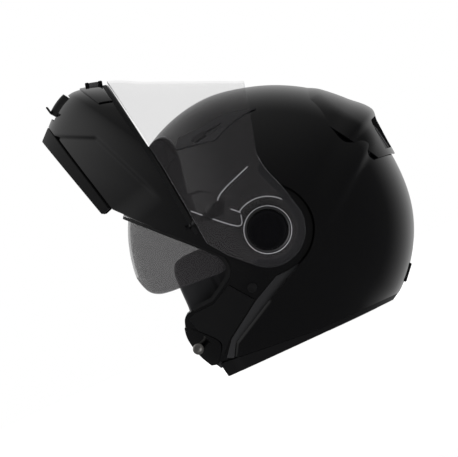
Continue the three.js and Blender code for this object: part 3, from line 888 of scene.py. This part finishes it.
TOP_VENT = rounded([
    (-47.8, 105.9), (-15.9, 100.1), (-9.7, 99.1), (5.3, 104.9), (23.6, 109.2), (38.1, 109.7),
], 3) + [(22, 114), (6.3, 117.4), (-13.5, 115), (-41, 114.5)]
vent_grey = grained(
    Finish("vent_grey", Base_Color=(0.03, 0.03, 0.033)), 2200.0, 0.26, 0.12, 0.12,
)
vent_skin = Skin(SHELL_RADII, SHELL_HALF_WIDTH, 1.4)
SLOT_LOW, SLOT_HIGH, SLOT_START, SLOT_END = 107.6, 112.6, 74, 91
SLOT = [
    spot(SLOT_LOW, SLOT_START), spot(SLOT_LOW, SLOT_END), spot(SLOT_HIGH, SLOT_END),
    spot(SLOT_HIGH, SLOT_START),
]
SLIDER = arc(107.9, 75, 81.5) + arc(112.1, 81.5, 75)
for side, hand in HANDS:
    vent = sided(opened(plate(vent_skin, TOP_VENT, 2.0), SLOT), side)
    slider = sided(plate(vent_skin, SLIDER, 1.0), side)
    piece(
        f"crown_vent_{hand}", outward(vent), vent_grey.material,
        [f"top_vent_{hand}"], wall=1.3, rounding=0.4,
    )
    piece(
        f"crown_slider_{hand}", outward(slider), satin.material,
        [f"top_vent_slider_{hand}"], wall=1.2, rounding=0.35,
    )

# ---------- rear vent ----------
# A gloss black hood is bonded to the rear of the crown. A bar divides its outlet in the middle, and
# a web under the bar closes it against the shell.

SPOILER_RADII = [
    (0, 141), (90, 140), (130, 142.3), (146, 146.5), (155.7, 152.6), (160, 147.5), (170, 142.4),
    (200, 141.5), (270, 160), (312, 165),
]
HOOD_FRONT = [(124, 18), (112, 40), (92, 72), (82, 96), (96, 140)]


def hood_wedge(x, z):
    """The hood rises out of the shell from a feather edge along its upper front."""
    depth, width = 2.5, 18
    return -depth * (1 - smooth_step(0, width, off_line(x, z, HOOD_FRONT[1:])))


hood_skin = Skin(SPOILER_RADII, SHELL_HALF_WIDTH, 1.6, relief=hood_wedge)
HOOD_COLUMNS, HOOD_ROWS = 70, 34
hood_front = hood_skin.trace(HOOD_FRONT[:-1], HOOD_COLUMNS)
hood_low = hood_skin.trace([HOOD_FRONT[0], (170, 10)], 16)
hood_top = hood_skin.trace(HOOD_FRONT[-2:], 16)
hood_middle = hood_skin.middle(side_angle(hood_low[-1]), side_angle(hood_top[-1]), HOOD_COLUMNS)
hood = mirrored(patch(hood_skin, hood_middle, hood_front, HOOD_ROWS))
GRILLE = [(118, 48), (128, 24), (160, 20), (160, 44), (140, 56)]
GRILLE_HALF_WIDTH, GRILLE_BAR = 45.6, 2.4
opened(hood, GRILLE, GRILLE_HALF_WIDTH, mullion=GRILLE_BAR)
piece(
    "rear_hood", outward(hood), gloss.material,
    ["rear_vent_spoiler"], wall=1.6, rounding=0.5,
)

WEB_FOOT, WEB_LIFT, WEB_ANGLES = 138.5, 0.6, range(157, 172)
web_rim = [spot(WEB_FOOT, a) for a in WEB_ANGLES]
web_rim += [spot(hood_skin.radius(a) + WEB_LIFT, a) for a in reversed(WEB_ANGLES)]
web = bmesh.new()
web.faces.new([web.verts.new(PIVOT + MM * Vector((x, 0, z))) for x, z in web_rim])
made = piece(
    "rear_hood_web", web, gloss.material, [], like="rear_vent_spoiler", wall=4.8,
)
made.modifiers["Wall"].offset = 0

# ---------- chin bar fittings ----------
# The chin vent is closed by a satin hood, hinged at its upper edge, with a lip to push it by. Above
# it a slider with a silver face and dark grips runs on a raised plinth.


def block(centre, size, rounding, lean=0.0, turn=0.0, segments=3):
    """A moulded block with rounded edges, placed and leant in the side view."""
    bm = bmesh.new()
    bmesh.ops.create_cube(bm, size=1)
    bmesh.ops.scale(bm, vec=MM * Vector(size), verts=bm.verts)
    bmesh.ops.bevel(
        bm, geom=bm.edges[:], offset=rounding * MM, segments=segments, profile=0.5,
        affect="EDGES", material=-1,
    )
    swing = Matrix.Rotation(math.radians(lean), 4, "Y")
    spin = Matrix.Rotation(math.radians(turn), 4, "Y")
    place = Matrix.Translation(PIVOT) @ spin @ Matrix.Translation(MM * Vector(centre)) @ swing
    bmesh.ops.transform(bm, matrix=place, verts=bm.verts)
    return bm


silver = Finish("silver_face", Base_Color=(0.5, 0.5, 0.51), Metallic=0.9, Roughness=0.3)
silver_flake = silver.noise(1500.0, 2.0)
silver.set("Roughness", 0.24 + silver_flake * 0.15)
HOOD_ANGLES, HOOD_LEAN = (337.8, 343.4), 81.2
blister_skin = Skin(CHIN_RADII, CHIN_HALF_WIDTH, 4.0, turn=RAISED)
blister_spine = blister_skin.middle(*HOOD_ANGLES, 24)
blister = patch(blister_skin, blister_spine, [p * (HOOD_LEAN / POLE) for p in blister_spine], 14)
SKIRT_DEPTH, SKIRT_START, SKIRT_END = 5.0, 20, 25
for v in blister.verts:
    fall = SKIRT_DEPTH * MM * smooth_step(SKIRT_START, SKIRT_END, abs(v.co.y) / MM)
    v.co -= (v.co - PIVOT).normalized() * fall
piece(
    "chin_hood", outward(mirrored(blister), RAISED_MIDDLE), satin.material,
    ["chin_vent_flap"], wall=1.4, rounding=0.5,
)
piece(
    "chin_hood_lip", block((-223.4, 0, -88.4), (7.2, 44.0, 1.8), 0.7, 4, RAISED),
    satin.material, [], like="chin_vent_flap",
)
plinth_skin = Skin(CHIN_RADII, CHIN_HALF_WIDTH, 1.7, turn=RAISED)
PLINTH_LEAN, PLINTH_LOW = 61.5, 346.7
plinth_flank = [p * (PLINTH_LEAN / POLE) for p in plinth_skin.middle(PLINTH_LOW, 349.6, 12)]
plinth = patch(plinth_skin, plinth_skin.middle(PLINTH_LOW, 350.6, 12), plinth_flank, 40)
piece(
    "slider_plinth", outward(mirrored(plinth), RAISED_MIDDLE), gloss.material,
    [], like="chin_bar_shell", wall=1.6, rounding=0.6,
)
SLIDER_LEAN = 31.0
SLIDER_AT = Vector((-214.0, 0, -39.6))
slope = Matrix.Rotation(math.radians(SLIDER_LEAN), 3, "Y") @ Vector((0, 0, 1))
piece(
    "chin_slider_face", block(SLIDER_AT, (6.0, 25.0, 9.4), 0.9, SLIDER_LEAN, RAISED),
    silver.material, ["chin_slider"],
)
grips = [
    block(SLIDER_AT + slope * 6.4 * end, (7.0, 26.4, 3.8), 0.9, SLIDER_LEAN, RAISED)
    for end in (-1, 1)
]
piece(
    "chin_slider_grips", merged(*grips), satin.material, [], like="chin_slider",
)
# ---------- neck tab ----------
# A small satin tab is let into the shell low on the back, above the rim trim. It stands a little
# proud of the paint.

piece(
    "neck_tab", block((105.4, 0, -93.9), (3.4, 24.0, 19.0), 1.2, 41.7), satin.material,
    ["rear_tab"],
)
# ---------- latch button ----------
# A satin push button in the middle of the chin bar's strip draws back both latch hooks. A spring
# pushes it out again.

piece(
    "latch_button", block((-196, 0, -106.5), (13.6, 29.6, 7.6), 1.4, 0, RAISED), satin.material,
    ["release_button"],
)

# ---------- padding ----------
# The lining is knitted polyester over soft foam, in separate pads that press into the hard liner.
# Each pad swells from its solid under cloth pressure and is drawn in along its seams.

knit = Finish("lining_knit", Roughness=0.95, Sheen_Weight=0.35, Sheen_Roughness=0.5)
cells = knit.node("ShaderNodeTexVoronoi", {"feature": "F1"}, {
    "Vector": knit.where(), "Scale": 620.0, "Randomness": 0.35,
}, "Distance")
patchy = knit.noise(24.0, 3.0)
knit.set("Base Color", knit.blend(patchy, (0.012, 0.012, 0.0135), (0.026, 0.026, 0.029)))
knit.bump(cells, 0.35, 0.0004)
PAD_VOXEL, PAD_FRAMES, PAD_PRESSURE = 0.0045, 20, 4
SEAM_REACH, SEAM_DEPTH = 3.2, 1.7


def stuffed(name, node, room, cap, seams=()):
    """A pad grown by cloth pressure from a slightly smaller copy of its solid, then sewn."""
    source = frame["nodes"][node]
    bm = bmesh.new()
    bm.from_mesh(source.data)
    bmesh.ops.remove_doubles(bm, verts=bm.verts, dist=0.00002)
    mesh = bpy.data.meshes.new(name)
    bm.to_mesh(mesh)
    bm.free()
    made = bpy.data.objects.new(name, mesh)
    scene.collection.objects.link(made)
    remesh = made.modifiers.new("Remesh", "REMESH")
    remesh.mode, remesh.voxel_size = "VOXEL", PAD_VOXEL
    smooth = made.modifiers.new("Smooth", "SMOOTH")
    smooth.factor, smooth.iterations = 0.5, 3
    graph = bpy.context.evaluated_depsgraph_get()
    solid = bpy.data.meshes.new_from_object(made.evaluated_get(graph))
    made.modifiers.clear()
    made.data = solid
    normals = [v.normal.copy() for v in solid.vertices]
    for v, normal in zip(solid.vertices, normals):
        v.co -= normal * room * MM
    start = [v.co.copy() for v in solid.vertices]
    cloth = made.modifiers.new("Cloth", "CLOTH")
    cloth.settings.use_pressure = True
    cloth.settings.uniform_pressure_force = PAD_PRESSURE
    cloth.settings.effector_weights.gravity = 0
    cloth.point_cache.frame_start, cloth.point_cache.frame_end = 1, PAD_FRAMES
    for k in range(1, PAD_FRAMES + 1):
        scene.frame_set(k)
    graph = bpy.context.evaluated_depsgraph_get()
    swollen = [v.co.copy() for v in made.evaluated_get(graph).data.vertices]
    made.modifiers.clear()
    scene.frame_set(1)
    for v, old, new in zip(solid.vertices, start, swollen):
        move = new - old
        v.co = old + move * min(1.0, cap * MM / max(1e-9, move.length))
    finer = made.modifiers.new("Finer", "SUBSURF")
    finer.levels = finer.render_levels = 1
    graph = bpy.context.evaluated_depsgraph_get()
    final = bpy.data.meshes.new_from_object(made.evaluated_get(graph))
    made.modifiers.clear()
    made.data = final
    normals = [v.normal.copy() for v in final.vertices]
    for v, normal in zip(final.vertices, normals):
        local = (v.co - PIVOT) / MM
        for axis, spot in seams:
            nearness = max(0.0, 1 - abs(local[axis] - spot) / SEAM_REACH)
            v.co -= normal * SEAM_DEPTH * MM * nearness * nearness
    final.shade_smooth()
    final.materials.clear()
    final.materials.append(knit.material)
    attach(made, body_of(node))
    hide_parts(node)


scene = bpy.context.scene
for side, hand in HANDS:
    stuffed(f"cheek_cushion_{hand}", f"cheek_pad_{hand}", 0.5, 3.0, [(0, -66.0), (2, -48.0)])
stuffed("crown_cushion", "crown_pad", 1.0, 1.8, [(1, -26.0), (1, 26.0), (0, 20.0)])
stuffed("neck_cushion", "neck_roll", 1.0, 2.0, [(0, 10.0)])

# ---------- chin strap ----------
# Two woven polyester straps run in from the shell and meet at a buckle with a hinged satin lever.
# They are drawn fastened and pushed up inside, as the helmet is stored.

webbing = Finish("webbing", Roughness=0.8, Sheen_Weight=0.2)
strand_x = webbing.node("ShaderNodeTexWave", {"bands_direction": "X"}, {
    "Vector": webbing.where("UV"), "Scale": 7.0, "Distortion": 0.0,
}, "Fac")
strand_y = webbing.node("ShaderNodeTexWave", {"bands_direction": "Y"}, {
    "Vector": webbing.where("UV"), "Scale": 22.0, "Distortion": 0.0,
}, "Fac")
weave = strand_x * strand_y
webbing.set("Base Color", webbing.blend(weave, (0.012, 0.012, 0.014), (0.05, 0.05, 0.055)))
webbing.bump(weave, 0.7, 0.0004)
STRAP_REACH, STRAP_DROP, STRAP_TOP, STRAP_SWEEP = 55.5, 40.0, -64.0, 66.0
STRAP_FORE, STRAP_HALF_WIDTH = -33, 10.8
for side, hand in HANDS:
    strap = bmesh.new()
    bmesh.ops.create_grid(strap, x_segments=10, y_segments=60, size=1, calc_uvs=True)
    for v in strap.verts:
        across, along = v.co.x, (v.co.y + 1) / 2
        t = math.radians(STRAP_SWEEP * along)
        v.co = PIVOT + MM * Vector((
            STRAP_FORE + STRAP_HALF_WIDTH * across, side * STRAP_REACH * math.cos(t),
            STRAP_TOP - STRAP_DROP * math.sin(t),
        ))
    bmesh.ops.recalc_face_normals(strap, faces=strap.faces)
    made = piece(
        f"webbing_{hand}", strap, webbing.material, [f"strap_{hand}"],
        wall=1.7, rounding=0.5,
    )
    made.modifiers["Wall"].offset = 0
piece(
    "buckle_frame",
    merged(
        block((STRAP_FORE, -2, -104), (24.6, 32.6, 3.6), 0.9),
        block((STRAP_FORE, -2, -102.6), (16.0, 25.0, 1.4), 0.5),
    ),
    steel.material, ["buckle_body"],
)
piece(
    "buckle_handle",
    merged(
        block((STRAP_FORE, -1, -100.4), (19.6, 25.6, 1.9), 0.8),
        *[
            block((STRAP_FORE, -9.4 + 2.4 * k, -99.5), (13.0, 0.9, 0.8), 0.3, segments=2)
            for k in range(4)
        ],
    ),
    satin.material, ["buckle_lever"],
)

# ---------- pieces kept from the frame ----------
# The hard foam, the liner of the chin bar, the latch metalwork and the small mouldings keep the
# frame's shapes and take their own finishes.

foam = Finish("hard_foam", Roughness=0.9)
beads = foam.node("ShaderNodeTexVoronoi", {"feature": "F1"}, {
    "Vector": foam.where(), "Scale": 330.0,
}, "Distance")
foam.set("Base Color", foam.blend(beads, (0.03, 0.03, 0.033), (0.012, 0.012, 0.014)))
foam.bump(beads, 0.5, 0.0005)
KEPT = {
    foam: ["foam_liner", "chin_bar_liner"],
    steel: [
        "pivot_axle_left", "pivot_axle_right", "pivot_plate_left", "pivot_plate_right",
        "latch_post_left", "latch_post_right", "latch_hook_left", "latch_hook_right",
    ],
    vent_grey: ["rear_vent_grille"],
    satin: ["sun_visor_slider"],
    rubber: ["eyeport_gasket"],
}
for finish, names in KEPT.items():
    for name in names:
        slots = frame["nodes"][name].data.materials
        slots.clear()
        slots.append(finish.material)

# ---------- camera, light and floor ----------
# The camera looks square at the wearer's left and is rolled, so that the helmet pitches nose-down.
# Three soft lamps and a glow behind the helmet light it on a plain pale floor.

ROLL = math.radians(24.8)
LENS, SENSOR, VIEW_WIDTH = 900.0, 36.0, 0.442
camera = bpy.data.objects.new("camera", bpy.data.cameras.new("camera"))
scene.collection.objects.link(camera)
camera.data.lens, camera.data.sensor_width = LENS, SENSOR
aim = Vector((-0.0239, 0, 0.1295))
distance = VIEW_WIDTH * LENS / SENSOR
facing = Matrix((
    (math.cos(ROLL), math.sin(ROLL), 0),
    (0, 0, -1),
    (-math.sin(ROLL), math.cos(ROLL), 0),
)).to_4x4()
camera.matrix_world = Matrix.Translation(aim - Vector((0, distance, 0))) @ facing
camera.data.clip_end = 50
LAMP_AIM = Vector((0, 0, 0.15))
scene.camera = camera
scene.view_settings.view_transform = "Standard"


def lamp(name, place, target, size, watts):
    light = bpy.data.lights.new(name, "AREA")
    light.shape, light.size, light.size_y, light.energy = "RECTANGLE", *size, watts
    made = bpy.data.objects.new(name, light)
    scene.collection.objects.link(made)
    made.location = place
    made.rotation_euler = (target - Vector(place)).to_track_quat("-Z", "Y").to_euler()
    made.visible_camera = made.visible_glossy = False


lamp("overhead", (0.2, 0.9, 1.5), LAMP_AIM, (1.4, 0.8), 8)
lamp("rear", (1.4, 0.7, 0.5), LAMP_AIM, (0.5, 1.2), 5)
lamp("front", (-1.4, 0.5, 0.6), RAISED_MIDDLE, (0.5, 1.2), 4)

world = bpy.data.worlds.new("studio")
scene.world = world
world.use_nodes = True
studio = Finish.__new__(Finish)
studio.tree = world.node_tree
sky = studio.where("Generated")
back = studio.node("ShaderNodeSeparateXYZ", None, {0: sky}, 1)
up = studio.node("ShaderNodeSeparateXYZ", None, {0: sky}, 2)
side = studio.node("ShaderNodeSeparateXYZ", None, {0: sky}, 0)
behind = studio.maths_max(back - 0.15, 0.0) ** 1.5 * (0.8 + 0.3 * up) * (1 + side)
above = studio.maths_max(up - 0.1, 0.0)
front = studio.maths_max(-0.1 - side, 0.0) * studio.maths_max(up + 0.2, 0.0)
seen = studio.node("ShaderNodeLightPath", output="Is Camera Ray")
AMBIENT, BEHIND, ABOVE, FRONT_GLOW = 0.06, 0.42, 0.12, 0.6
glow = AMBIENT + behind * BEHIND + above * above * ABOVE + front * FRONT_GLOW
studio.put(world.node_tree.nodes["Background"].inputs["Strength"], studio.maths_max(glow, seen))
world.node_tree.nodes["Background"].inputs["Color"].default_value = (1, 1, 1, 1)

bm = bmesh.new()
bmesh.ops.create_grid(bm, x_segments=1, y_segments=1, size=6)
floor_mesh = bpy.data.meshes.new("floor")
bm.to_mesh(floor_mesh)
bm.free()
floor = bpy.data.objects.new("floor", floor_mesh)
scene.collection.objects.link(floor)
floor.visible_glossy = False
pale = Finish(
    "pale_floor", Base_Color=(0.85, 0.85, 0.85), Roughness=0.8,
    Emission_Color=(1, 1, 1), Emission_Strength=0.95,
)
floor_mesh.materials.append(pale.material)
